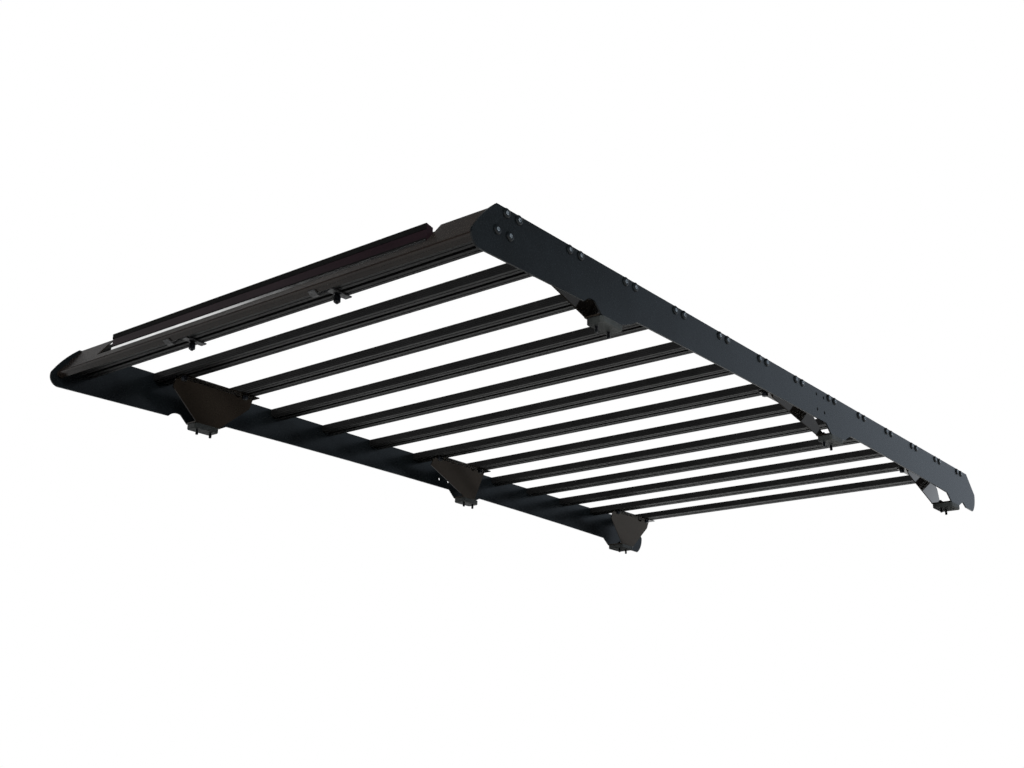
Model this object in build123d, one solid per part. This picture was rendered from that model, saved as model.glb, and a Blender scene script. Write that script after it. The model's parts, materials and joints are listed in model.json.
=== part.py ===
from build123d import *
from math import atan2, degrees
import os

# Everything is in mm. X runs across the rack, Y from the front to the rear, Z up.
# The shapes are drawn with the slat tops at Z = 0 and the first slat at Y = 0.

# Overall layout
rack_width = 1342.0       # outer face of one side panel to the other
panel_sheet = 4.0         # thickness of the side panel plate
slat_count = 13           # slats in the top plane
slat_pitch = 200.0        # from one slat to the next

# Slat section
slat_wide = 53.0
slat_tall = 20.0
slat_corner = 1.4         # chamfer of the outer corners
slot_mouth = 10.0         # opening of the bolt slot, top and bottom
slot_room = 17.0          # width inside the slot, for the bolt head
slot_lip = 2.2            # lip thickness over the slot
slot_deep = 7.6           # slot depth from the face
port_reach = 18.5         # screw port from the slat's centre line
port_bore = 7.0           # screw port for the end bolts
core_wide = 12.4          # flat hollow above and below each port
core_tall = 2.4
core_skin = 2.0           # wall outside that hollow
rib_pitch = 4.4           # grooves down the front and rear faces
rib_cut = 0.8             # groove depth
rib_wide = 1.4            # groove width
rib_count = 3
line_reach = 15.5         # grooves along the top and the underside
line_wide = 3.0
line_cut = 1.0

# Bolt heads at the slat ends, outside the panels
bolt_hole = 9.0           # panel holes for the slat bolts
bolt_head = 23.0          # head across its corners
bolt_proud = 7.0          # head height
bolt_edge = 2.0           # chamfer round the head
bolt_side_count = 10

# Lower slat at the front, which carries the deflector
low_slat_y = -26.0
low_slat_top = -42.5

# Side panel outline in Y and Z, the nose from the first slat and the tail from the last
nose_top_y = -47.0        # where the top edge turns down
nose_bulge = (-86.0, -37.0)
nose_tip = (-113.0, -73.0)
nose_chin = (-112.0, -94.0)
nose_heel = (-92.0, -108.0)
tail_notch = (13.0, -107.0)
tail_keel = (41.0, -121.0)
tail_toe = (106.0, -122.0)
tail_heel = (133.0, -92.0)
tail_back = (140.0, -60.0)
tail_slope = (106.0, -28.0)
tail_top_y = 76.0
arch_slat_count = 5       # slats ahead of the crown of the long arch
arch_z = -84.4
arch_radius = 45000.0
sill_ahead = 100.0        # end of the straight lower edge, ahead of the front foot
sill_z = -102.5
notch_ahead = 83.0        # round notch ahead of the front foot
notch_z = -91.5
notch_end_ahead = 62.0
notch_end_z = -91.0
tab_round = 4.0           # rounding of the tab corners
spare_hole = 9.0          # four spare holes above the middle foot
spare_back = 126.0        # their centre behind the middle brace's first slat
spare_z = -39.0
spare_step_y = 44.0
spare_step_z = 42.0

# Feet, front to rear
front_foot_slat_count = 1            # slats ahead of the front brace
middle_foot_slat_count = 6           # slats ahead of the middle brace
foot_back = (132.0, 222.0, 140.0)    # stud centre behind the brace's first slat
foot_inset = (26.0, 30.0, 42.0)      # studs in from the panel's outer face
tab_low = (-112.0, -110.0, -126.0)   # underside of each panel tab
tab_ahead = 39.0                     # flat of the tab ahead of the stud centre
tab_behind = (36.0, 48.0, 32.0)      # and behind it
middle_tab_run = 27.0                # slope from the arch down to the tab
rear_tab_run = 33.0
tab_kink_behind = 66.0               # kink in the tab's rear edge
tab_kink_rise = 11.0
tab_end_behind = 91.0                # where that edge meets the arch
stud_gap = 44.0           # between the two studs of a foot
stud_dia = 8.0
stud_shank = 9.0          # plain part of the stud inside the pad
stud_fit = 0.4            # holes are this much larger than the shank
stud_below = 28.0         # stud tip below the tab
stud_above = 3.5          # stud end above the nut
stud_tip = 1.0            # chamfer on the stud's tip
nut_flats = 13.0
nut_tall = 6.5
pad_long = 78.0
pad_tall = 14.0
pad_round = 8.0           # corner radius seen from below
pad_edge = 2.0            # chamfer of the pad's lower rim

# Brace from the slats down to the foot
brace_sheet = 3.0
brace_flange = 30.0       # flange under the slats, from its bend to its inner edge
brace_ahead = 12.0        # flange ahead of the first slat's centre
brace_behind = 40.0       # flange behind the second slat's centre
brace_drop = 26.0         # depth of the full-width band at the top
brace_rise = 4.0          # height of the narrow band at the foot
brace_foot_half = 42.0
brace_bolt_in = 18.0      # flange bolts in from the bend
brace_bolt_hole = 9.0
web_inset = (15.0, 12.0, 23.0)       # web's lower bend inside the studs
web_lean = (42.0, 38.0, 34.0)        # its upper bend inside the lower one

# Wind deflector: a sloping sheet from panel to panel, folded under at its lower edge
deflector_gap = 0.3       # from the panels and the brackets
deflector_sheet = 3.0
deflector_top = (-42.0, -1.0)
deflector_tip = (-103.5, -77.5)      # fold at the lower edge
deflector_heel = (-88.0, -85.5)
deflector_bend = 7.0
recess_half = 530.0       # recess in the upper edge, for the blade
recess_low = -52.0

# Blade upright in the recess, standing on the lower slat
blade_half = 508.0
blade_top = 3.0
blade_front = -58.0
blade_deep = 18.0
blade_drop = 4.0          # rear edge below the front one

# Brackets from the deflector's ends to the panels
bracket_sheet = 3.0
bracket_wide = 30.0       # leg behind the deflector
bracket_foot = 12.0       # foot on the panel
bracket_long = 50.0

# Clamps from the deflector's heel to the lower slat's slot
clamp_x = 236.0
clamp_wide = 18.0
clamp_sheet = 3.0
clamp_bend = 6.0
clamp_grip = 16.0         # front leg, under the deflector's folded edge
clamp_fit = 0.3           # between that edge and the clamp
clamp_rear = 6.0
clamp_hole = 9.0

half = rack_width / 2
inner = half - panel_sheet
slat_long = 2 * inner
last_slat = (slat_count - 1) * slat_pitch
low_slat_front = low_slat_y - slat_wide / 2
low_slat_low = low_slat_top - slat_tall
deflector_half = inner - deflector_gap
arch_y = arch_slat_count * slat_pitch
slats_ahead = (front_foot_slat_count, middle_foot_slat_count, slat_count - 2)
brace_slat = [count * slat_pitch for count in slats_ahead]
foot_y = [slat_y + back for slat_y, back in zip(brace_slat, foot_back)]
stud_x = [half - inset for inset in foot_inset]
web_x = [x - inset for x, inset in zip(stud_x, web_inset)]
stand = stud_below - min(tab_low)


def mirrored(shape):
    return mirror(shape, about=Plane.YZ)


def save(name, shape):
    placed = Pos(0, -middle_y, stand) * shape
    placed.label = name
    export_step(placed, "parts/" + name + ".step")


def slat_section():
    body = chamfer(Rectangle(slat_wide, slat_tall).vertices(), slat_corner)
    room_tall = slot_deep - slot_lip
    for side in (1, -1):
        face = side * slat_tall / 2
        mouth = Rectangle(slot_mouth, 2 * slot_lip)
        room = Rectangle(slot_room, room_tall)
        body -= Pos(0, face) * mouth
        body -= Pos(0, face - side * (slot_lip + room_tall / 2)) * room
        for hand in (1, -1):
            core_at = face - side * (core_skin + core_tall / 2)
            body -= Pos(hand * port_reach, core_at) * Rectangle(core_wide, core_tall)
            body -= Pos(hand * line_reach, face) * Rectangle(line_wide, 2 * line_cut)
    for hand in (1, -1):
        body -= Pos(hand * port_reach, 0) * Circle(port_bore / 2)
        for rib in range(rib_count):
            rib_at = (rib - (rib_count - 1) / 2) * rib_pitch
            edge = hand * slat_wide / 2
            groove = Polygon(
                (edge, rib_at - hand * rib_wide / 2),
                (edge, rib_at + hand * rib_wide / 2),
                (edge - hand * rib_cut, rib_at),
                align=None,
            )
            body -= groove
    return body


def slat(section, y, top):
    bar = extrude(Plane.YZ * section, slat_long, dir=(1, 0, 0))
    return Pos(-inner, y, top - slat_tall / 2) * bar


def bolt_places():
    seats = [(number * slat_pitch, 0) for number in range(slat_count)]
    seats.append((low_slat_y, low_slat_top))
    places = []
    for y, top in seats:
        for hand in (1, -1):
            places.append((y + hand * port_reach, top - slat_tall / 2))
    return places


def slat_bolts():
    outline = RegularPolygon(bolt_head / 2, bolt_side_count)
    head = extrude(Plane.YZ * outline, bolt_proud, dir=(1, 0, 0))
    head = chamfer(head.faces().sort_by(Axis.X)[-1].edges(), bolt_edge)
    heads = [Pos(half, y, z) * head for y, z in bolt_places()]
    return Compound(children=heads)


# The long arch of the panel's lower edge
def arch(y):
    return arch_z - (y - arch_y) ** 2 / (2 * arch_radius)


def arch_run(start, end):
    mid = (start + end) / 2
    return ThreePointArc((start, arch(start)), (mid, arch(mid)), (end, arch(end)))


def tab_flat(number):
    start = foot_y[number] - tab_ahead
    end = foot_y[number] + tab_behind[number]
    return [(start, tab_low[number]), (end, tab_low[number])]


# The kinked edge from the rear of a tab back up to the arch
def tab_end(number):
    kink = (foot_y[number] + tab_kink_behind, tab_low[number] + tab_kink_rise)
    end = foot_y[number] + tab_end_behind
    return [kink, (end, arch(end))]


def tail_point(point):
    return (last_slat + point[0], point[1])


def panel_face():
    sill = (foot_y[0] - sill_ahead, sill_z)
    notch = (foot_y[0] - notch_ahead, notch_z)
    notch_end = (foot_y[0] - notch_end_ahead, notch_end_z)
    front_tab = [notch_end] + tab_flat(0) + tab_end(0)
    middle_start = foot_y[1] - tab_ahead - middle_tab_run
    middle_tab = [(middle_start, arch(middle_start))] + tab_flat(1) + tab_end(1)
    rear_start = foot_y[2] - tab_ahead - rear_tab_run
    tail_low = [tail_point(point) for point in (tail_notch, tail_keel, tail_toe)]
    rear_tab = [(rear_start, arch(rear_start))] + tab_flat(2) + tail_low
    tail_top = (last_slat + tail_top_y, 0)
    edge = [
        Line(tail_top, (nose_top_y, 0)),
        ThreePointArc((nose_top_y, 0), nose_bulge, nose_tip),
        ThreePointArc(nose_tip, nose_chin, nose_heel),
        Line(nose_heel, sill),
        ThreePointArc(sill, notch, notch_end),
        FilletPolyline(*front_tab, radius=tab_round),
        arch_run(front_tab[-1][0], middle_start),
        FilletPolyline(*middle_tab, radius=tab_round),
        arch_run(middle_tab[-1][0], rear_start),
        FilletPolyline(*rear_tab, radius=tab_round),
        ThreePointArc(tail_low[-1], tail_point(tail_heel), tail_point(tail_back)),
        ThreePointArc(tail_point(tail_back), tail_point(tail_slope), tail_top),
    ]
    return make_face(edge)


def side_panel():
    face = panel_face()
    for y, z in bolt_places():
        face -= Pos(y, z) * Circle(bolt_hole / 2)
    spare_y = brace_slat[1] + spare_back
    for step_y in (-spare_step_y / 2, spare_step_y / 2):
        for step_z in (-spare_step_z / 2, spare_step_z / 2):
            face -= Pos(spare_y + step_y, spare_z + step_z) * Circle(spare_hole / 2)
    return Pos(inner, 0, 0) * extrude(Plane.YZ * face, panel_sheet, dir=(1, 0, 0))


def stud_places(number):
    return (foot_y[number] - stud_gap / 2, foot_y[number] + stud_gap / 2)


def brace(number):
    first = brace_slat[number]
    ahead = first - brace_ahead
    behind = first + slat_pitch + brace_behind
    low = tab_low[number]
    centre = foot_y[number]
    foot_x = web_x[number]
    bend_x = foot_x - web_lean[number]
    edge_x = bend_x - brace_flange
    under = -slat_tall
    top_band = under - brace_sheet
    fall = top_band - low
    slope = (web_lean[number] ** 2 + fall ** 2) ** 0.5
    run = brace_sheet * (slope - web_lean[number]) / (fall + brace_sheet)
    section = Polygon(
        (edge_x, top_band),
        (bend_x - run, top_band),
        (foot_x, low),
        (inner, low),
        (inner, low + brace_sheet),
        (foot_x + run, low + brace_sheet),
        (bend_x, under),
        (edge_x, under),
        align=None,
    )
    long_strip = extrude(Plane.XZ * section, behind - ahead, dir=(0, 1, 0))
    outline = Polygon(
        (ahead, under),
        (ahead, under - brace_drop),
        (centre - brace_foot_half, low + brace_rise),
        (centre - brace_foot_half, low),
        (centre + brace_foot_half, low),
        (centre + brace_foot_half, low + brace_rise),
        (behind, under - brace_drop),
        (behind, under),
        align=None,
    )
    shape = (Pos(0, ahead, 0) * long_strip) & extrude(Plane.YZ * outline, half, dir=(1, 0, 0))
    for y in (first, first + slat_pitch):
        hole = Cylinder(brace_bolt_hole / 2, 4 * brace_sheet)
        shape -= Pos(bend_x - brace_bolt_in, y, top_band) * hole
    for y in stud_places(number):
        hole = Cylinder((stud_shank + stud_fit) / 2, 4 * brace_sheet)
        shape -= Pos(stud_x[number], y, low) * hole
    return shape


# The pad fills the width from the brace's lower bend to the panel's outer face
def foot_pad(number):
    low = tab_low[number] - pad_tall
    plan = RectangleRounded(half - web_x[number], pad_long, pad_round)
    block = extrude(plan, pad_tall)
    block = chamfer(block.faces().sort_by(Axis.Z)[0].edges(), pad_edge)
    shape = Pos((half + web_x[number]) / 2, foot_y[number], low) * block
    for y in stud_places(number):
        hole = Cylinder((stud_shank + stud_fit) / 2, 4 * pad_tall)
        shape -= Pos(stud_x[number], y, low) * hole
    return shape


def foot_studs(number):
    bottom = tab_low[number] - stud_below
    bare = stud_below - pad_tall
    rod = extrude(Circle(stud_dia / 2), bare)
    rod = chamfer(rod.edges().group_by(Axis.Z)[0], stud_tip)
    shank = Pos(0, 0, bare) * extrude(Circle(stud_shank / 2), pad_tall + brace_sheet)
    nut_plan = RegularPolygon(nut_flats / 2, 6, major_radius=False)
    nut = Pos(0, 0, stud_below + brace_sheet) * extrude(nut_plan, nut_tall)
    end_at = stud_below + brace_sheet + nut_tall
    end = Pos(0, 0, end_at) * extrude(Circle(stud_dia / 2), stud_above)
    stud = rod + shank + nut + end
    pair = [Pos(stud_x[number], y, bottom) * stud for y in stud_places(number)]
    return Compound(children=pair)


def deflector():
    front = FilletPolyline(deflector_top, deflector_tip, deflector_heel, radius=deflector_bend)
    section = make_face(offset(front, deflector_sheet, side=Side.LEFT))
    sheet = extrude(Plane.YZ * section, 2 * deflector_half, dir=(1, 0, 0))
    above = slat_wide - recess_low
    room = Pos(0, 0, recess_low + above / 2) * Box(2 * recess_half, 4 * slat_wide, above)
    return Pos(-deflector_half, 0, 0) * sheet - room


def blade():
    rear = blade_front + blade_deep
    section = Polygon(
        (blade_front, low_slat_top),
        (rear, low_slat_top),
        (rear, blade_top - blade_drop),
        (blade_front, blade_top),
        align=None,
    )
    return Pos(-blade_half, 0, 0) * extrude(Plane.YZ * section, 2 * blade_half, dir=(1, 0, 0))


# An angle with one leg behind the deflector's slope and its foot flat on the panel
def bracket():
    run = Vector(*deflector_tip) - Vector(*deflector_top)
    middle = Vector(*deflector_top) + run / 2
    slope = Pos(middle.X, middle.Y) * Rot(0, 0, degrees(atan2(run.Y, run.X)))
    near = deflector_sheet + deflector_gap
    leg = slope * Pos(0, near + bracket_sheet / 2) * Rectangle(bracket_long, bracket_sheet)
    foot = slope * Pos(0, near + bracket_foot / 2) * Rectangle(bracket_long, bracket_foot)
    leg_plate = extrude(Plane.YZ * leg, bracket_wide, dir=(1, 0, 0))
    foot_plate = extrude(Plane.YZ * foot, bracket_sheet, dir=(1, 0, 0))
    return Pos(inner - bracket_wide, 0, 0) * leg_plate + Pos(inner - bracket_sheet, 0, 0) * foot_plate


def clamp():
    fold = (Vector(*deflector_heel) - Vector(*deflector_tip)).normalized()
    under = Vector(*deflector_heel) + Vector(fold.Y, -fold.X) * clamp_fit + fold * clamp_bend
    points = [
        under - fold * clamp_grip,
        under,
        Vector(low_slat_front, low_slat_low),
        Vector(clamp_rear, low_slat_low),
    ]
    upper = FilletPolyline(*points, radius=clamp_bend)
    section = make_face(offset(upper, clamp_sheet, side=Side.RIGHT))
    bar = extrude(Plane.YZ * section, clamp_wide, dir=(1, 0, 0))
    shape = Pos(clamp_x - clamp_wide / 2, 0, 0) * bar
    hole = Cylinder(clamp_hole / 2, 4 * clamp_sheet)
    return shape - Pos(clamp_x, low_slat_y, low_slat_low) * hole


os.makedirs("parts", exist_ok=True)

left_panel = side_panel()
middle_y = left_panel.bounding_box().center().Y
save("left_side_panel", left_panel)
save("right_side_panel", mirrored(left_panel))

section = slat_section()
for number in range(slat_count):
    save("slat_%02d" % (number + 1), slat(section, number * slat_pitch, 0))
save("front_lower_slat", slat(section, low_slat_y, low_slat_top))

left_bolts = slat_bolts()
save("left_slat_bolts", left_bolts)
save("right_slat_bolts", mirrored(left_bolts))

for number, place in enumerate(("front", "middle", "rear")):
    pieces = {
        "foot_brace": brace(number),
        "foot_pad": foot_pad(number),
        "foot_studs": foot_studs(number),
    }
    for kind, piece in pieces.items():
        save("left_%s_%s" % (place, kind), piece)
        save("right_%s_%s" % (place, kind), mirrored(piece))

save("wind_deflector", deflector())
save("deflector_blade", blade())
end_bracket = bracket()
save("left_deflector_bracket", end_bracket)
save("right_deflector_bracket", mirrored(end_bracket))
deflector_clamp = clamp()
save("left_deflector_clamp", deflector_clamp)
save("right_deflector_clamp", mirrored(deflector_clamp))
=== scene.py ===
import json
import math
import bpy
import bmesh
from mathutils import Matrix, Vector


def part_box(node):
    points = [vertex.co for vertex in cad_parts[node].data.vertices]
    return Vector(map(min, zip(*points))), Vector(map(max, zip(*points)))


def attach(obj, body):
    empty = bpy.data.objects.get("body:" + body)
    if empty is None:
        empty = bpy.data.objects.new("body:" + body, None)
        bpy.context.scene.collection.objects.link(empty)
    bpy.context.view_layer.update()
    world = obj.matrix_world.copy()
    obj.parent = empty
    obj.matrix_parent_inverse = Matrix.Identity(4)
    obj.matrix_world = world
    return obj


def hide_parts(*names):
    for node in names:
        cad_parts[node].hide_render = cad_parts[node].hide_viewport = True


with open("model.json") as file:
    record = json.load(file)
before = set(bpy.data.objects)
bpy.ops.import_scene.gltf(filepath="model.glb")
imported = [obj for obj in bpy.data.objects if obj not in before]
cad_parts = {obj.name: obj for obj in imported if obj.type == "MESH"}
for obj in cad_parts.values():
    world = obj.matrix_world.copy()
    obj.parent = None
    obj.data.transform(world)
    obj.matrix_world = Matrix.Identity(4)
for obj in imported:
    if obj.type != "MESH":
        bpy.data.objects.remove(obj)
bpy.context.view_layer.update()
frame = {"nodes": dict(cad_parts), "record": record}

mm = 0.001
pureWhite = (1.0, 1.0, 1.0, 1.0)
scene = bpy.context.scene
scene.view_settings.view_transform = "Standard"
cadNodes = frame["nodes"]
print("frame loaded:", len(cadNodes), "nodes")


# adds a node, sets its settings, then links or sets its inputs by name or number
def addNode(tree, kind, settings=None, inputs=None):
    node = tree.nodes.new(kind)
    for key, value in (settings or {}).items():
        setattr(node, key, value)
    for key, value in (inputs or {}).items():
        if isinstance(value, bpy.types.NodeSocket):
            tree.links.new(value, node.inputs[key])
        else:
            node.inputs[key].default_value = value
    return node


# sRGB hex to linear
def hexColor(text):
    parts = [int(text[i:i + 2], 16) / 255 for i in (1, 3, 5)]
    linear = [p / 12.92 if p <= 0.04045 else ((p + 0.055) / 1.055) ** 2.4 for p in parts]
    return (*linear, 1.0)


# what all finishes share: where the clouds turn from dark to light, how fine both noises are,
# and the part of the grain's range that sets the gloss
noiseSet = {"cloudStops": (0.35, 0.68), "cloudDetail": 3.0, "cloudRoughness": 0.6,
            "grainDetail": 2.0, "grainRoughness": 0.55, "grainRange": (0.3, 0.7)}


# A coat or plate: two close colours in soft clouds, a grain that breaks up the gloss, and a bump
# of the same grain. The real grain is too fine to show in the render, so it is drawn a few mm wide.
def makeFinish(look):
    material = bpy.data.materials.new(look["name"])
    material.use_nodes = True
    tree = material.node_tree
    tree.nodes.clear()
    place = addNode(tree, "ShaderNodeTexCoord").outputs["Object"]
    stretched = addNode(tree, "ShaderNodeMapping", None, {"Vector": place, "Scale": look["stretch"]})
    clouds = addNode(tree, "ShaderNodeTexNoise", None, {
        "Vector": place, "Scale": 1 / (look["cloudMm"] * mm),
        "Detail": noiseSet["cloudDetail"], "Roughness": noiseSet["cloudRoughness"]})
    grain = addNode(tree, "ShaderNodeTexNoise", None, {
        "Vector": stretched.outputs[0], "Scale": 1 / (look["grainMm"] * mm),
        "Detail": noiseSet["grainDetail"], "Roughness": noiseSet["grainRoughness"]})
    colors = addNode(tree, "ShaderNodeValToRGB", None, {"Fac": clouds.outputs[0]})
    for i, tone in enumerate(("dark", "light")):
        colors.color_ramp.elements[i].position = noiseSet["cloudStops"][i]
        colors.color_ramp.elements[i].color = hexColor(look[tone])
    gloss = addNode(tree, "ShaderNodeMapRange", None, {
        "Value": grain.outputs[0],
        "From Min": noiseSet["grainRange"][0], "From Max": noiseSet["grainRange"][1],
        "To Min": look["roughness"][0], "To Max": look["roughness"][1]})
    bump = addNode(tree, "ShaderNodeBump", None, {
        "Height": grain.outputs[0], "Strength": look["bump"], "Distance": look["bumpMm"] * mm})
    shader = addNode(tree, "ShaderNodeBsdfPrincipled", None, {
        "Base Color": colors.outputs[0], "Roughness": gloss.outputs[0], "Normal": bump.outputs[0],
        "Metallic": look["metallic"], "Specular IOR Level": look["specular"],
        "Specular Tint": hexColor(look["tint"])})
    addNode(tree, "ShaderNodeOutputMaterial", None, {"Surface": shader.outputs[0]})
    return material


# satin black powder coat on aluminium plate: dark face on, a cool grey sheen at a low angle
panelLook = {"name": "satinPowderCoatPlate", "dark": "#07090a", "light": "#0c0f11", "cloudMm": 160,
             "grainMm": 5.0, "stretch": (1, 1, 1), "roughness": (0.21, 0.28), "bump": 0.02,
             "bumpMm": 0.3, "metallic": 0.0, "specular": 0.12, "tint": "#ffffff"}
# fine matte powder coat on an extrusion: faint die lines along the slat
slatLook = {"name": "mattePowderCoatExtrusion", "dark": "#0f0f0f", "light": "#161616", "cloudMm": 90,
            "grainMm": 4.0, "stretch": (0.04, 1, 1), "roughness": (0.30, 0.42), "bump": 0.08,
            "bumpMm": 0.3, "metallic": 0.0, "specular": 0.06, "tint": "#ffffff"}
# smooth coat on folded sheet: nearly mirror-like at a low angle, warm and dark face on
braceLook = {"name": "smoothCoatFoldedSheet", "dark": "#0b0907", "light": "#0f0c09", "cloudMm": 120,
             "grainMm": 6.0, "stretch": (1, 1, 1), "roughness": (0.05, 0.10), "bump": 0.02,
             "bumpMm": 0.3, "metallic": 0.0, "specular": 0.35, "tint": "#94806d"}
# coated casting: greyer and softer, with a pebbled skin
padLook = {"name": "coatedCasting", "dark": "#1f2120", "light": "#292b2a", "cloudMm": 40,
           "grainMm": 3.0, "stretch": (1, 1, 1), "roughness": (0.45, 0.65), "bump": 0.25,
           "bumpMm": 0.4, "metallic": 0.0, "specular": 0.2, "tint": "#ffffff"}
# black zinc plate on steel: dark metal with a faint cold tint
steelLook = {"name": "blackZincSteel", "dark": "#141518", "light": "#26282c", "cloudMm": 12,
             "grainMm": 2.0, "stretch": (1, 1, 1), "roughness": (0.25, 0.42), "bump": 0.10,
             "bumpMm": 0.2, "metallic": 0.9, "specular": 0.5, "tint": "#ffffff"}
# satin coat on the deflector's folded sheet: brown black, grey where it is seen at a low angle
deflectorLook = {"name": "satinPowderCoatSheet", "dark": "#130f0d", "light": "#191512", "cloudMm": 140,
                 "grainMm": 5.0, "stretch": (0.4, 1, 1), "roughness": (0.16, 0.26), "bump": 0.05,
                 "bumpMm": 0.3, "metallic": 0.0, "specular": 0.15, "tint": "#ffffff"}
# glossy dark moulding: warm purple black with a clean highlight; its grain is a moulding's slow ripple
bladeLook = {"name": "glossyDarkMoulding", "dark": "#120c0f", "light": "#191114", "cloudMm": 200,
             "grainMm": 25.0, "stretch": (0.2, 1, 1), "roughness": (0.10, 0.16), "bump": 0.04,
             "bumpMm": 0.5, "metallic": 0.0, "specular": 0.05, "tint": "#ffffff"}
# satin coat on the bracket plates: brown black
bracketLook = {"name": "satinPowderCoatBracket", "dark": "#16120f", "light": "#1f1a17", "cloudMm": 80,
               "grainMm": 5.0, "stretch": (1, 1, 1), "roughness": (0.25, 0.40), "bump": 0.06,
               "bumpMm": 0.3, "metallic": 0.0, "specular": 0.12, "tint": "#ffffff"}
# grey zinc on the clamps: mid grey metal, a little mottled
clampLook = {"name": "greyZincStrap", "dark": "#2f2f30", "light": "#474748", "cloudMm": 10,
             "grainMm": 2.5, "stretch": (1, 1, 1), "roughness": (0.35, 0.55), "bump": 0.12,
             "bumpMm": 0.2, "metallic": 0.6, "specular": 0.4, "tint": "#ffffff"}
# bare steel in the bolt sockets, made bright so that each shows as a small painted highlight on its head
socketGlintLook = {"name": "bareTurnedSteel", "dark": "#8d9295", "light": "#a6abad", "cloudMm": 4,
              "grainMm": 1.0, "stretch": (1, 1, 1), "roughness": (0.25, 0.40), "bump": 0.05,
              "bumpMm": 0.1, "metallic": 1.0, "specular": 0.5, "tint": "#ffffff"}
# bright mirror strip along the foot of the blade, a painted highlight: it stands where the blade's foot
# shows a bright band, and it mirrors the low white surround
highlightStripLook = {"name": "anodisedAluminiumStrip", "dark": "#d5d6d6", "light": "#e6e7e7", "cloudMm": 60,
             "grainMm": 3.0, "stretch": (0.05, 1, 1), "roughness": (0.06, 0.12), "bump": 0.03,
             "bumpMm": 0.2, "metallic": 1.0, "specular": 0.5, "tint": "#ffffff"}
# flat black: the moulded rubber edging, and the painted shadow bar at the blade's foot
edgingAndShadowLook = {"name": "mouldedRubberEdging", "dark": "#050505", "light": "#090909", "cloudMm": 50,
              "grainMm": 3.0, "stretch": (1, 1, 1), "roughness": (0.55, 0.75), "bump": 0.15,
              "bumpMm": 0.3, "metallic": 0.0, "specular": 0.05, "tint": "#ffffff"}

# the record's slots and their finishes, set on the CAD nodes
finishes = {
    "panel_coat": makeFinish(panelLook),
    "slat_coat": makeFinish(slatLook),
    "brace_coat": makeFinish(braceLook),
    "pad_finish": makeFinish(padLook),
    "stud_finish": makeFinish(steelLook),
    "deflector_finish": makeFinish(deflectorLook),
    "blade_finish": makeFinish(bladeLook),
    "bracket_coat": makeFinish(bracketLook),
    "clamp_finish": makeFinish(clampLook),
}
for part in frame["record"]["subparts"]:
    slots = cadNodes[part["node"]].data.materials
    slots.clear()
    slots.append(finishes[part["material_slot"]])
print("finishes set:", len(finishes))


# a new object in the scene, at the origin
def addObject(name, data):
    thing = bpy.data.objects.new(name, data)
    scene.collection.objects.link(thing)
    return thing


# ends the work as a mesh
def endMesh(name, work):
    mesh = bpy.data.meshes.new(name)
    work.to_mesh(mesh)
    work.free()
    return mesh


# a ring of points about Z, with a radius in mm for each of its sides
def addRing(work, radii, height):
    ring = []
    for i, radius in enumerate(radii):
        angle = 2 * math.pi * i / len(radii)
        x = radius * mm * math.cos(angle)
        y = radius * mm * math.sin(angle)
        ring.append(work.verts.new((x, y, height * mm)))
    return ring


# the radii of a hexagon at evenly spaced angles, from its size across the flats
def hexRadii(flats, sides):
    radii = []
    for i in range(sides):
        angle = 2 * math.pi * i / sides
        swing = (angle + math.pi / 6) % (math.pi / 3) - math.pi / 6
        radii.append(flats / 2 / math.cos(swing))
    return radii


# turns a profile of (radius, height) in mm about Z into a mesh that is capped at both ends,
# with a hexagon socket sunk into its last ring if the socket's flats are given
def turnedMesh(name, profile, sides, socketFlats=0.0, socketDeep=0.0):
    work = bmesh.new()
    rings = [addRing(work, [radius] * sides, height) for radius, height in profile]
    if socketFlats:
        top = profile[-1][1]
        for height in (top, top - socketDeep):
            rings.append(addRing(work, hexRadii(socketFlats, sides), height))
    for low, high in zip(rings, rings[1:]):
        for i in range(sides):
            j = (i + 1) % sides
            work.faces.new((low[i], low[j], high[j], high[i]))
    work.faces.new(list(reversed(rings[0])))
    work.faces.new(rings[-1])
    bmesh.ops.recalc_face_normals(work, faces=work.faces)
    return endMesh(name, work)


# several meshes in one
def joined(name, meshes):
    work = bmesh.new()
    for mesh in meshes:
        work.from_mesh(mesh)
    return endMesh(name, work)


sources = []


# a source shape for the fastener trees; all of them are removed once the pieces are made
def sourceShape(name, mesh, smoothDeg=32):
    shape = addObject(name, mesh)
    mesh.shade_smooth()
    mesh.set_sharp_from_angle(angle=math.radians(smoothDeg))
    sources.append(shape)
    return shape


# starts a tree with a geometry input and output and the named inputs given
def startTree(name, sockets):
    tree = bpy.data.node_groups.new(name, "GeometryNodeTree")
    tree.interface.new_socket("Geometry", in_out="OUTPUT", socket_type="NodeSocketGeometry")
    tree.interface.new_socket("Geometry", in_out="INPUT", socket_type="NodeSocketGeometry")
    for label, kind in sockets:
        tree.interface.new_socket(label, in_out="INPUT", socket_type=kind)
    return tree, addNode(tree, "NodeGroupInput")


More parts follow.
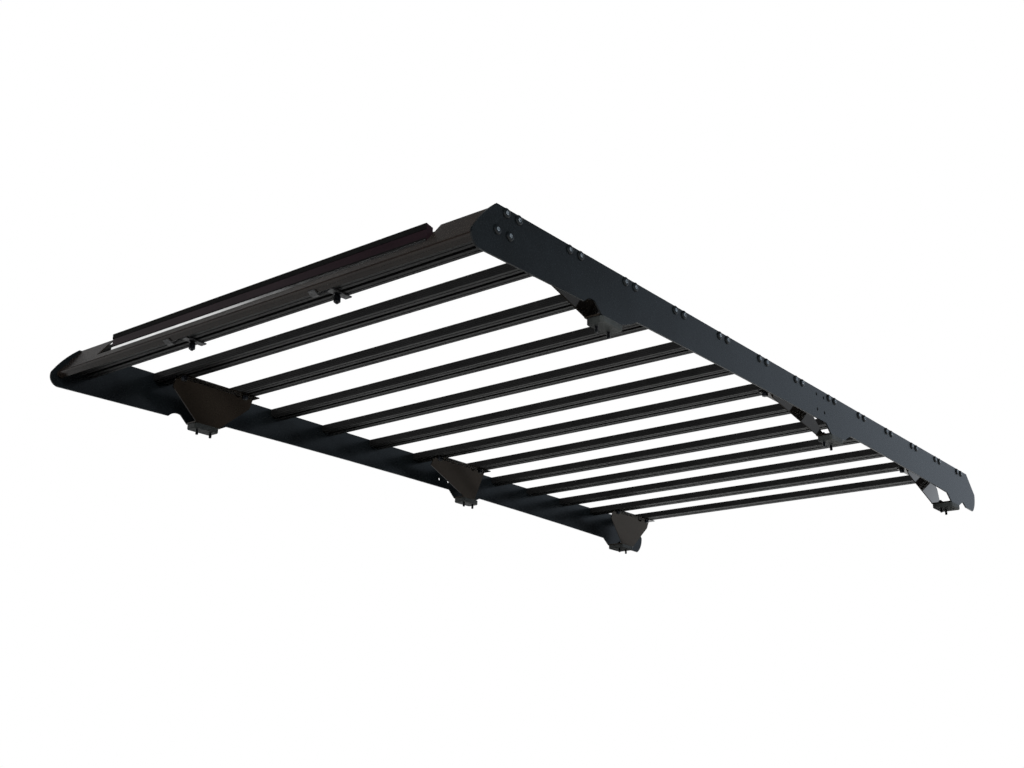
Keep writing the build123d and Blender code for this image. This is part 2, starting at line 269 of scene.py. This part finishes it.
# instances of the shape on the points, each turned by its own amount, made real and given the finish
def endTree(tree, given, points):
    shape = addNode(tree, "GeometryNodeObjectInfo", {"transform_space": "ORIGINAL"}, {
        "Object": given.outputs["Shape"]})
    facing = addNode(tree, "FunctionNodeEulerToRotation", None, {"Euler": given.outputs["Facing"]})
    spread = addNode(tree, "GeometryNodeInstanceOnPoints", None, {
        "Points": points, "Instance": shape.outputs["Geometry"], "Rotation": facing.outputs[0]})
    turn = addNode(tree, "FunctionNodeRandomValue", {"data_type": "FLOAT"}, {
        "Min": 0.0, "Max": given.outputs["Turn"], "Seed": given.outputs["Seed"]})
    angle = addNode(tree, "ShaderNodeCombineXYZ", None, {"Z": turn.outputs[1]})
    twist = addNode(tree, "FunctionNodeEulerToRotation", None, {"Euler": angle.outputs[0]})
    turned = addNode(tree, "GeometryNodeRotateInstances", None, {
        "Instances": spread.outputs[0], "Rotation": twist.outputs[0], "Local Space": True})
    real = addNode(tree, "GeometryNodeRealizeInstances", None, {"Geometry": turned.outputs[0]})
    dressed = addNode(tree, "GeometryNodeSetMaterial", None, {
        "Geometry": real.outputs[0], "Material": given.outputs["Finish"]})
    addNode(tree, "NodeGroupOutput", None, {"Geometry": dressed.outputs[0]})


shapeSockets = [("Shape", "NodeSocketObject"), ("Facing", "NodeSocketVector"),
                ("Turn", "NodeSocketFloat"), ("Seed", "NodeSocketInt"), ("Finish", "NodeSocketMaterial")]


# pairs of bolts in a row, one pair for each slat
def slatBoltTree():
    tree, given = startTree("slatBoltRow", [
        ("Start", "NodeSocketVector"), ("Pitch", "NodeSocketFloat"), ("Count", "NodeSocketInt"),
        ("Pair Gap", "NodeSocketFloat")] + shapeSockets)
    step = addNode(tree, "ShaderNodeCombineXYZ", None, {"Y": given.outputs["Pitch"]})
    halfGap = addNode(tree, "ShaderNodeMath", {"operation": "MULTIPLY"}, {
        0: given.outputs["Pair Gap"], 1: 0.5})
    shift = addNode(tree, "ShaderNodeCombineXYZ", None, {"Y": halfGap.outputs[0]})
    both = addNode(tree, "GeometryNodeJoinGeometry")
    for operation in ("ADD", "SUBTRACT"):
        start = addNode(tree, "ShaderNodeVectorMath", {"operation": operation}, {
            0: given.outputs["Start"], 1: shift.outputs[0]})
        row = addNode(tree, "GeometryNodeMeshLine", {"mode": "OFFSET"}, {
            "Count": given.outputs["Count"], "Start Location": start.outputs[0],
            "Offset": step.outputs[0]})
        tree.links.new(row.outputs[0], both.inputs[0])
    endTree(tree, given, both.outputs[0])
    return tree


# one fastener at each vertex of the base mesh
def placedTree():
    tree, given = startTree("fastenersAtPlaces", shapeSockets)
    endTree(tree, given, given.outputs["Geometry"])
    return tree


# runs a tree on a base mesh of points and returns the finished piece as a plain mesh object
def runTree(name, tree, values, places=()):
    base = bpy.data.meshes.new(name + "Places")
    base.from_pydata(places, [], [])
    holder = addObject(name + "Holder", base)
    modifier = holder.modifiers.new("fasteners", "NODES")
    modifier.node_group = tree
    for item in tree.interface.items_tree:
        if item.in_out == "INPUT" and item.name in values:
            modifier[item.identifier] = values[item.name]
    bpy.context.view_layer.update()
    seen = holder.evaluated_get(bpy.context.evaluated_depsgraph_get())
    mesh = bpy.data.meshes.new_from_object(seen)
    mesh.name = name
    holder.modifiers.remove(modifier)
    bpy.data.objects.remove(holder)
    return addObject(name, mesh)


# the finished piece rides on the rack, and the CAD nodes it replaces are hidden
def settle(piece, slotName, *replacedNodes):
    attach(piece, "root")
    if replacedNodes:
        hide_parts(*replacedNodes)
    print("piece:", piece.name, len(piece.data.polygons), "faces")


handOf = {"left": 1, "right": -1}
steel = finishes["stud_finish"]
facingUp = (0.0, 0.0, 0.0)
facingDown = (math.pi, 0.0, 0.0)
placed = placedTree()

# slat end bolts: low coated heads with a bright socket, whose brightness is partly a painted highlight;
# profiles are (radius, height) in mm
slatBolt = {
    "head": [(10.2, 0.0), (10.2, 1.0), (9.8, 2.2), (8.8, 3.2), (7.0, 3.7), (4.4, 3.8), (4.4, 2.0)],
    "socket": [(4.3, 2.1), (4.3, 3.6), (4.0, 3.8)], "socketFlats": 5.0, "socketDeep": 1.6,
    "sides": 20, "pairGapMm": 37.0, "seed": 3}
headMesh = turnedMesh("slatBoltHead", slatBolt["head"], slatBolt["sides"])
socketMesh = turnedMesh("slatBoltSocket", slatBolt["socket"], slatBolt["sides"],
                        slatBolt["socketFlats"], slatBolt["socketDeep"])
boltKinds = {
    "Bolts": (sourceShape("slatBoltHead", headMesh), finishes["panel_coat"], "panel_coat"),
    # bright sockets: real sockets, made bright as a painted highlight on each head
    "BoltSockets": (sourceShape("slatBoltSocket", socketMesh), makeFinish(socketGlintLook), "clamp_finish"),
}
boltRow = slatBoltTree()
slatLow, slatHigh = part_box("slat_01")
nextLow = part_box("slat_02")[0]
lowerLow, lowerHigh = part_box("front_lower_slat")
slatCount = sum(1 for name in cadNodes if name.startswith("slat_"))
boltRuns = (("Row", slatLow, slatHigh, slatCount), ("Front", lowerLow, lowerHigh, 1))
for side, hand in handOf.items():
    panelLow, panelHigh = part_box(side + "_side_panel")
    outerX = panelHigh.x if hand > 0 else panelLow.x
    for kind, (shape, finish, slotName) in boltKinds.items():
        name = side + "Slat" + kind
        rows = []
        for label, low, high, count in boltRuns:
            rows.append(runTree(name + label, boltRow, {
                "Start": (outerX, (low.y + high.y) / 2, (low.z + high.z) / 2),
                "Pitch": nextLow.y - slatLow.y, "Count": count, "Pair Gap": slatBolt["pairGapMm"] * mm,
                "Shape": shape, "Facing": (0.0, hand * math.pi / 2, 0.0), "Turn": math.pi,
                "Seed": slatBolt["seed"], "Finish": finish}))
        piece = addObject(name, joined(name, [row.data for row in rows]))
        piece.data.materials.append(finish)
        for row in rows:
            bpy.data.objects.remove(row)
        replaced = [side + "_slat_bolts"] if kind == "Bolts" else []
        settle(piece, slotName, *replaced)

# brace bolts: hexagon heads on washers, under the flanges below two slats
braceBolt = {
    "washer": [(10.0, 0.0), (10.0, 1.4), (9.7, 1.6)], "washerSides": 20,
    "head": [(8.0, 1.6), (8.0, 9.2), (7.0, 10.2)], "headSides": 6, "smoothDeg": 25,
    "slats": {"front": ("slat_02", "slat_03"), "middle": ("slat_07", "slat_08"),
              "rear": ("slat_12", "slat_13")},
    "flangeInMm": 12.0, "sheetMm": 3.0, "seed": 5}
braceHead = sourceShape("braceBoltHead", joined("braceBoltHead", [
    turnedMesh("braceWasher", braceBolt["washer"], braceBolt["washerSides"]),
    turnedMesh("braceHex", braceBolt["head"], braceBolt["headSides"])]), braceBolt["smoothDeg"])
places = []
for place, slats in braceBolt["slats"].items():
    for side, hand in handOf.items():
        braceLow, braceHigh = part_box("%s_%s_foot_brace" % (side, place))
        innerX = braceLow.x if hand > 0 else braceHigh.x
        x = innerX + hand * braceBolt["flangeInMm"] * mm
        for name in slats:
            low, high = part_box(name)
            places.append((x, (low.y + high.y) / 2, low.z - braceBolt["sheetMm"] * mm))
piece = runTree("braceBolts", placed, {
    "Shape": braceHead, "Facing": facingDown, "Turn": math.pi, "Seed": braceBolt["seed"],
    "Finish": steel}, places)
settle(piece, "stud_finish")

# foot studs: threaded ends under the pads, washers and nuts above the braces; crest, root, shank,
# tip and endTip are radii, washer and nut are profiles from the brace up, all in mm
footStud = {
    "gapMm": 44.0, "toBraceMm": 28.0, "padMm": 14.0, "sheetMm": 3.0, "sides": 14, "seed": 7,
    "crestMm": 4.0, "rootMm": 3.35, "pitchMm": 1.25, "shankMm": 4.5,
    "tipMm": 2.6, "tipLeadMm": 0.8, "runOutMm": 1.0,
    "washer": [(8.4, 0.0), (8.4, 1.2), (8.1, 1.4)], "washerSides": 20,
    "nut": [(7.0, 1.4), (7.5, 2.0), (7.5, 5.7), (6.8, 6.5)], "nutSides": 6,
    "endMm": 3.5, "endTipMm": 2.8, "endLeadMm": 0.3, "endRunOutMm": 0.4, "smoothDeg": 25}


# a profile along a thread, root and crest by turns
def threadedRun(start, end):
    steps = int((end - start) / footStud["pitchMm"])
    run = []
    for i in range(steps):
        at = start + i * footStud["pitchMm"]
        run.append((footStud["rootMm"], at))
        run.append((footStud["crestMm"], at + footStud["pitchMm"] / 2))
    run.append((footStud["rootMm"], end))
    return run


def raised(profile, by):
    return [(radius, height + by) for radius, height in profile]


padUnder = footStud["toBraceMm"] - footStud["padMm"]
nutAt = footStud["toBraceMm"] + footStud["sheetMm"]
nutTop = nutAt + footStud["nut"][-1][1]
endTop = nutTop + footStud["endMm"]
rod = [(footStud["tipMm"], 0.0)]
rod += threadedRun(footStud["tipLeadMm"], padUnder - footStud["runOutMm"])
rod += [(footStud["crestMm"], padUnder), (footStud["shankMm"], padUnder), (footStud["shankMm"], nutAt)]
rodEnd = [(footStud["rootMm"], nutTop)]
rodEnd += threadedRun(nutTop + footStud["endLeadMm"], endTop - footStud["endRunOutMm"])[1:]
rodEnd += [(footStud["endTipMm"], endTop)]
stud = sourceShape("footStud", joined("footStud", [
    turnedMesh("studRod", rod, footStud["sides"]),
    turnedMesh("studWasher", raised(footStud["washer"], nutAt), footStud["washerSides"]),
    turnedMesh("studNut", raised(footStud["nut"], nutAt), footStud["nutSides"]),
    turnedMesh("studEnd", rodEnd, footStud["sides"])]), footStud["smoothDeg"])
places = []
studNodes = []
for place in ("front", "middle", "rear"):
    for side in handOf:
        studNodes.append("%s_%s_foot_studs" % (side, place))
        low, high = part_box(studNodes[-1])
        for way in (1, -1):
            y = (low.y + high.y) / 2 + way * footStud["gapMm"] / 2 * mm
            places.append(((low.x + high.x) / 2, y, low.z))
piece = runTree("footStuds", placed, {
    "Shape": stud, "Facing": facingUp, "Turn": math.pi / 3, "Seed": footStud["seed"],
    "Finish": steel}, places)
settle(piece, "stud_finish", *studNodes)

# clamp bolts: long knobs under the deflector clamps
clampBolt = {
    "profile": [(8.6, 0.0), (8.6, 1.4), (5.6, 1.6), (5.6, 4.0), (7.4, 5.0), (7.4, 17.6), (6.4, 19.0),
                (3.4, 19.0), (3.4, 21.0), (2.8, 22.0)],
    "sides": 16, "sheetMm": 3.0, "seed": 9}
knob = sourceShape("clampKnob", turnedMesh("clampKnob", clampBolt["profile"], clampBolt["sides"]))
knobY = (lowerLow.y + lowerHigh.y) / 2
knobZ = lowerLow.z - clampBolt["sheetMm"] * mm
places = []
for side in handOf:
    low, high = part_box(side + "_deflector_clamp")
    places.append(((low.x + high.x) / 2, knobY, knobZ))
piece = runTree("clampBolts", placed, {
    "Shape": knob, "Facing": facingDown, "Turn": math.pi, "Seed": clampBolt["seed"],
    "Finish": steel}, places)
settle(piece, "stud_finish")

# deflector screws: two pan heads at each end, through the sheet into the bracket behind it
deflectorScrew = {
    "profile": [(3.6, 0.0), (3.6, 0.8), (3.0, 1.7), (2.0, 2.1)], "socketFlats": 2.2, "socketDeep": 0.9,
    "sides": 12, "fromPanelMm": 16.0, "downSlopeMm": (34.0, 64.0), "slopeDeg": 51.2, "sheetMm": 3.0,
    "seed": 11}
screw = sourceShape("deflectorScrewHead", turnedMesh(
    "deflectorScrewHead", deflectorScrew["profile"], deflectorScrew["sides"],
    deflectorScrew["socketFlats"], deflectorScrew["socketDeep"]))
slope = math.radians(deflectorScrew["slopeDeg"])
low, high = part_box("wind_deflector")
topY = high.y - deflectorScrew["sheetMm"] * mm * math.sin(slope)
places = []
for hand in handOf.values():
    endX = high.x if hand > 0 else low.x
    x = endX - hand * deflectorScrew["fromPanelMm"] * mm
    for down in deflectorScrew["downSlopeMm"]:
        places.append((x, topY - down * mm * math.cos(slope), high.z - down * mm * math.sin(slope)))
piece = runTree("deflectorScrews", placed, {
    "Shape": screw, "Facing": (slope, 0.0, 0.0), "Turn": math.pi, "Seed": deflectorScrew["seed"],
    "Finish": finishes["panel_coat"]}, places)
settle(piece, "panel_coat")

# blade trim on its front face: a bright mirror strip along the foot that is a painted highlight, a thin
# black bar above it that is a painted shadow, and a black edging at the top; lowMm and highMm are from the
# blade's foot, proudMm from its front face
edgingAndShadowBlack = makeFinish(edgingAndShadowLook)
bladeTrim = {
    # the bright strip is a painted highlight along the blade's foot
    "bladeFootStrip": {"lowMm": 4.0, "highMm": 11.7, "proudMm": 1.6, "leanMm": 0.22, "chamferMm": 0.3,
                       "finish": makeFinish(highlightStripLook), "slot": "clamp_finish"},
    # the thin black bar is a painted shadow in the gap above the bright strip
    "bladeFootSeal": {"lowMm": 11.9, "highMm": 14.6, "proudMm": 1.4, "leanMm": 0.0, "chamferMm": 0.4,
                      "finish": edgingAndShadowBlack, "slot": "blade_finish"},
    "bladeTopEdging": {"lowMm": 33.0, "highMm": 45.4, "proudMm": 1.2, "leanMm": 0.0, "chamferMm": 0.4,
                       "finish": edgingAndShadowBlack, "slot": "blade_finish"},
}
bladeLow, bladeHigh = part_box("deflector_blade")


# a bar along the whole blade with a chamfered front, which leans back by leanMm at its top
def bladeBar(name, trim):
    low = trim["lowMm"]
    high = trim["highMm"]
    frontLow = -trim["proudMm"]
    frontHigh = frontLow + trim["leanMm"]
    edge = trim["chamferMm"]
    section = [(0.0, low), (frontLow + edge, low), (frontLow, low + edge),
               (frontHigh, high - edge), (frontHigh + edge, high), (0.0, high)]
    work = bmesh.new()
    rings = []
    for x in (bladeLow.x, bladeHigh.x):
        rings.append([work.verts.new((x, bladeLow.y + y * mm, bladeLow.z + z * mm)) for y, z in section])
    for i in range(len(section)):
        j = (i + 1) % len(section)
        work.faces.new((rings[0][i], rings[0][j], rings[1][j], rings[1][i]))
    work.faces.new(rings[0])
    work.faces.new(rings[1])
    bmesh.ops.recalc_face_normals(work, faces=work.faces)
    return addObject(name, endMesh(name, work))


for name, trim in bladeTrim.items():
    piece = bladeBar(name, trim)
    piece.data.materials.append(trim["finish"])
    settle(piece, trim["slot"])

for shape in sources:
    bpy.data.objects.remove(shape)


# 1 for the rays that show the background: from the camera, mirrored or through glass
def shownRays(tree):
    path = addNode(tree, "ShaderNodeLightPath").outputs
    seenOrMirrored = addNode(tree, "ShaderNodeMath", {"operation": "MAXIMUM"}, {
        0: path["Is Camera Ray"], 1: path["Is Glossy Ray"]})
    shown = addNode(tree, "ShaderNodeMath", {"operation": "MAXIMUM"}, {
        0: seenOrMirrored.outputs[0], 1: path["Is Transmission Ray"]})
    return shown.outputs[0]


# camera at the photograph's angle
cameraSet = {"place": (1.94386, -2.80281, -0.85610), "yawDeg": 38.59, "tiltDeg": 18.27,
             "rollDeg": 0.736, "lensMm": 42.45, "sensorMm": 36.0, "nearM": 0.01}
yaw = math.radians(cameraSet["yawDeg"])
tilt = math.radians(cameraSet["tiltDeg"])
roll = math.radians(cameraSet["rollDeg"])
ahead = Vector((-math.sin(yaw) * math.cos(tilt), math.cos(yaw) * math.cos(tilt), math.sin(tilt)))
right = Vector((math.cos(yaw), math.sin(yaw), 0.0))
above = right.cross(ahead)
rolledRight = math.cos(roll) * right + math.sin(roll) * above
rolledUp = -math.sin(roll) * right + math.cos(roll) * above
cameraData = bpy.data.cameras.new("photoCamera")
cameraData.lens = cameraSet["lensMm"]
cameraData.sensor_width = cameraSet["sensorMm"]
cameraData.sensor_fit = "HORIZONTAL"
cameraData.clip_start = cameraSet["nearM"]
camera = addObject("photoCamera", cameraData)
turn = Matrix((rolledRight, rolledUp, -ahead)).transposed().to_4x4()
camera.matrix_world = Matrix.Translation(Vector(cameraSet["place"])) @ turn
scene.camera = camera

# floor: pale, white further out, and seen through from below, because the photograph looks up at the rack
floorSet = {"reachM": 30.0, "color": "#e6e6e4", "whiteFromM": (2.0, 5.5)}
reach = floorSet["reachM"]
corners = [(-reach, -reach, 0), (reach, -reach, 0), (reach, reach, 0), (-reach, reach, 0)]
floorMesh = bpy.data.meshes.new("studioFloor")
floorMesh.from_pydata(corners, [], [(0, 1, 2, 3)])
floor = addObject("studioFloor", floorMesh)
paper = bpy.data.materials.new("paleStudioPaper")
paper.use_nodes = True
tree = paper.node_tree
tree.nodes.clear()
matte = addNode(tree, "ShaderNodeBsdfDiffuse", None, {"Color": hexColor(floorSet["color"])})
glow = addNode(tree, "ShaderNodeEmission", None, {"Color": pureWhite, "Strength": 1.0})
spot = addNode(tree, "ShaderNodeTexCoord").outputs["Object"]
away = addNode(tree, "ShaderNodeVectorMath", {"operation": "LENGTH"}, {0: spot})
fade = addNode(tree, "ShaderNodeMapRange", {"interpolation_type": "SMOOTHSTEP"}, {
    "Value": away.outputs["Value"],
    "From Min": floorSet["whiteFromM"][0], "From Max": floorSet["whiteFromM"][1]})
shownFade = addNode(tree, "ShaderNodeMath", {"operation": "MULTIPLY"}, {
    0: fade.outputs[0], 1: shownRays(tree)})
topSide = addNode(tree, "ShaderNodeMixShader", None, {
    0: shownFade.outputs[0], 1: matte.outputs[0], 2: glow.outputs[0]})
clear = addNode(tree, "ShaderNodeBsdfTransparent")
below = addNode(tree, "ShaderNodeNewGeometry").outputs["Backfacing"]
oneSided = addNode(tree, "ShaderNodeMixShader", None, {0: below, 1: topSide.outputs[0], 2: clear.outputs[0]})
addNode(tree, "ShaderNodeOutputMaterial", None, {"Surface": oneSided.outputs[0]})
floorMesh.materials.append(paper)

# surround: plain white to the camera; the coats mirror a tall white backdrop behind the rack, lower
# white walls on the other sides, cooler on the left, and a dark ceiling. Each band is a list of
# (height of the direction, tone), and the pairs named edge and From say where one side fades into the next
surround = {
    "light": 0.6, "tint": "#f4f7fb",
    "behind": (-0.624, 0.781, 0.0), "edge": (0.82, 0.88), "frontFrom": (0.1, -0.3),
    "backdrop": ((0.595, 1.0), (0.64, 0.36), (0.71, 0.20), (0.745, 0.06)),
    "walls": ((0.35, 1.0), (0.42, 0.20), (0.56, 0.21), (0.60, 0.16), (0.71, 0.17), (0.745, 0.03)),
    "front": ((0.385, 1.0), (0.41, 0.02), (0.50, 0.02)),
    "cool": "#dfeeff", "coolFrom": (-0.1, 0.3)}
world = bpy.data.worlds.new("whiteStudio")
scene.world = world
world.use_nodes = True
tree = world.node_tree
tree.nodes.clear()
toCamera = addNode(tree, "ShaderNodeLightPath").outputs["Is Camera Ray"]
direction = addNode(tree, "ShaderNodeTexCoord").outputs["Generated"]
parts = addNode(tree, "ShaderNodeSeparateXYZ", None, {0: direction}).outputs
flat = addNode(tree, "ShaderNodeVectorMath", {"operation": "MULTIPLY"}, {0: direction, 1: (1.0, 1.0, 0.0)})
level = addNode(tree, "ShaderNodeVectorMath", {"operation": "NORMALIZE"}, {0: flat.outputs[0]})
facing = addNode(tree, "ShaderNodeVectorMath", {"operation": "DOT_PRODUCT"}, {
    0: level.outputs[0], 1: surround["behind"]})
inBackdrop = addNode(tree, "ShaderNodeMapRange", {"interpolation_type": "SMOOTHSTEP"}, {
    "Value": facing.outputs["Value"], "From Min": surround["edge"][0], "From Max": surround["edge"][1]})
inFront = addNode(tree, "ShaderNodeMapRange", None, {
    "Value": parts["Y"], "From Min": surround["frontFrom"][0], "From Max": surround["frontFrom"][1]})
onLeft = addNode(tree, "ShaderNodeMapRange", None, {
    "Value": parts["X"], "From Min": surround["coolFrom"][0], "From Max": surround["coolFrom"][1]})
bands = {}
for part in ("walls", "front", "backdrop"):
    band = addNode(tree, "ShaderNodeValToRGB", None, {"Fac": parts["Z"]})
    stops = band.color_ramp.elements
    while len(stops) < len(surround[part]):
        stops.new(0.5)  # moved to its place below
    for stop, (at, tone) in zip(stops, surround[part]):
        stop.position = at
        stop.color = (tone, tone, tone, 1.0)
    bands[part] = band.outputs[0]
around = addNode(tree, "ShaderNodeMix", {"data_type": "RGBA"}, {
    0: inFront.outputs[0], 6: bands["walls"], 7: bands["front"]})
cooled = addNode(tree, "ShaderNodeMix", {"data_type": "RGBA", "blend_type": "MULTIPLY"}, {
    0: onLeft.outputs[0], 6: around.outputs[2], 7: hexColor(surround["cool"])})
mirrored = addNode(tree, "ShaderNodeMix", {"data_type": "RGBA"}, {
    0: inBackdrop.outputs[0], 6: cooled.outputs[2], 7: bands["backdrop"]})
shown = addNode(tree, "ShaderNodeMix", {"data_type": "RGBA"}, {
    0: toCamera, 6: mirrored.outputs[2], 7: pureWhite})
shownSky = addNode(tree, "ShaderNodeBackground", None, {"Color": shown.outputs[2], "Strength": 1.0})
lightSky = addNode(tree, "ShaderNodeBackground", None, {
    "Color": hexColor(surround["tint"]), "Strength": surround["light"]})
sky = addNode(tree, "ShaderNodeMixShader", None, {
    0: shownRays(tree), 1: lightSky.outputs[0], 2: shownSky.outputs[0]})
addNode(tree, "ShaderNodeOutputWorld", None, {"Surface": sky.outputs[0]})

# two soft boxes; sizes in metres, power in watts
softBoxes = {
    "keySoftBox": {"place": (2.6, -3.2, 1.8), "aim": (0.0, -0.3, 0.1), "size": (2.0, 1.2), "power": 160.0},
    "topSoftBox": {"place": (1.0, 0.8, 3.4), "aim": (0.0, 0.0, 0.1), "size": (2.6, 2.6), "power": 120.0},
}
for name, box in softBoxes.items():
    lamp = bpy.data.lights.new(name, "AREA")
    lamp.shape = "RECTANGLE"
    lamp.size, lamp.size_y = box["size"]
    lamp.energy = box["power"]
    holder = addObject(name, lamp)
    holder.location = box["place"]
    beam = Vector(box["aim"]) - Vector(box["place"])
    holder.rotation_euler = beam.to_track_quat("-Z", "Y").to_euler()
    holder.visible_glossy = False  # the coats mirror the surround, not the lamps
print("camera, floor and light set")
